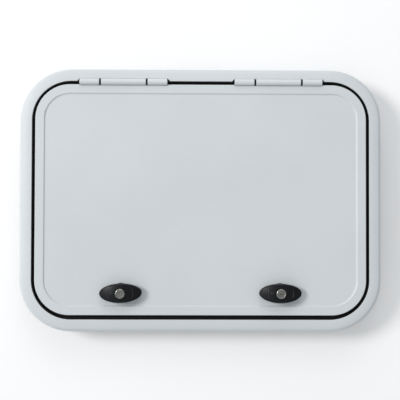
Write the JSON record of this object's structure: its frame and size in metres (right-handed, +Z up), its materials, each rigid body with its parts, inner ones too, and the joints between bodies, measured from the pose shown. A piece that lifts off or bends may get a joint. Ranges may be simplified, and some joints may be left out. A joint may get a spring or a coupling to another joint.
{
  "type": "deck hatch",
  "caption": "Flush moulded deck hatch: sealed frame, hinged lid with a recessed panel and key-locking oval turn latches.",
  "frame": {"origin": "middle of the hatch in the plane of the deck surface, which is the underside of the rim and ledge", "axes": "+X along the hatch's length, parallel to the hinges; +Y towards the hinges; +Z up, out of the deck"},
  "size_m": [0.46, 0.334, 0.0616],
  "materials": {
    "moulded_shell": "satin UV-stable moulded plastic, pale grey-white, fine moulded texture",
    "hinge_plastic": "satin moulded plastic, same colour as the frame",
    "seal_rubber": "black extruded rubber",
    "latch_plastic": "black glass-filled moulded plastic, semi-matt",
    "lock_metal": "satin nickel plated die casting",
    "brass_parts": "plain machined brass",
    "latch_metal": "die cast zinc, satin",
    "stainless": "machined stainless steel"
  },
  "bodies": {
    "frame": {"frame_rim": "moulded_shell", "frame_ledge": "moulded_shell", "frame_collar": "moulded_shell", "frame_seal": "seal_rubber", "hinge_left_frame_leaf": "hinge_plastic", "hinge_right_frame_leaf": "hinge_plastic", "hinge_left_pin": "stainless", "hinge_right_pin": "stainless", "hinge_frame_screws": "stainless", "hinge_bushes": "latch_plastic"},
    "lid": {"lid": "moulded_shell", "hinge_left_lid_leaf": "hinge_plastic", "hinge_right_lid_leaf": "hinge_plastic", "hinge_lid_screws": "stainless", "latch_left_base": "latch_plastic", "latch_left_base_gasket": "seal_rubber", "latch_left_nut": "latch_plastic", "latch_left_nut_washer": "latch_plastic", "latch_right_base": "latch_plastic", "latch_right_base_gasket": "seal_rubber", "latch_right_nut": "latch_plastic", "latch_right_nut_washer": "latch_plastic"},
    "latch_left": {"latch_left_grip": "latch_plastic", "latch_left_spindle": "latch_metal", "latch_left_spindle_oring": "seal_rubber", "latch_left_cam": "latch_metal", "latch_left_cam_washer": "stainless", "latch_left_cam_screw": "stainless"},
    "lock_plug_left": {"latch_left_lock_plug": "lock_metal"},
    "lock_bolt_left": {"latch_left_lock_bolt": "brass_parts"},
    "latch_right": {"latch_right_grip": "latch_plastic", "latch_right_spindle": "latch_metal", "latch_right_spindle_oring": "seal_rubber", "latch_right_cam": "latch_metal", "latch_right_cam_washer": "stainless", "latch_right_cam_screw": "stainless"},
    "lock_plug_right": {"latch_right_lock_plug": "lock_metal"},
    "lock_bolt_right": {"latch_right_lock_bolt": "brass_parts"}
  },
  "joints": [
    {"name": "lid_hinge", "type": "hinge", "parent": "frame", "child": "lid", "pos_m": [0, 0.1499, 0.0203], "axis": [-1, 0, 0], "range_deg": [0, 180]},
    {"name": "latch_left_turn", "type": "hinge", "parent": "lid", "child": "latch_left", "pos_m": [-0.1005, -0.1169, 0.0203], "axis": [0, 0, -1], "range_deg": [0, 90]},
    {"name": "latch_right_turn", "type": "hinge", "parent": "lid", "child": "latch_right", "pos_m": [0.1005, -0.1169, 0.0203], "axis": [0, 0, 1], "range_deg": [0, 90]},
    {"name": "key_left_turn", "type": "hinge", "parent": "latch_left", "child": "lock_plug_left", "pos_m": [-0.1005, -0.1169, 0.0303], "axis": [0, 0, -1], "range_deg": [0, 90]},
    {"name": "key_right_turn", "type": "hinge", "parent": "latch_right", "child": "lock_plug_right", "pos_m": [0.1005, -0.1169, 0.0303], "axis": [0, 0, 1], "range_deg": [0, 90]},
    {"name": "lock_bolt_left_throw", "type": "slide", "parent": "latch_left", "child": "lock_bolt_left", "axis": [0.9996, 0.0297, 0], "range_m": [0, 0.0018]},
    {"name": "lock_bolt_right_throw", "type": "slide", "parent": "latch_right", "child": "lock_bolt_right", "axis": [-1, 0, 0], "range_m": [0, 0.0018]}
  ],
  "couplings": [
    {"joint": "lock_bolt_left_throw", "follows": "key_left_turn", "m_per_rad": 0.0011459},
    {"joint": "lock_bolt_right_throw", "follows": "key_right_turn", "m_per_rad": 0.0011459}
  ]
}
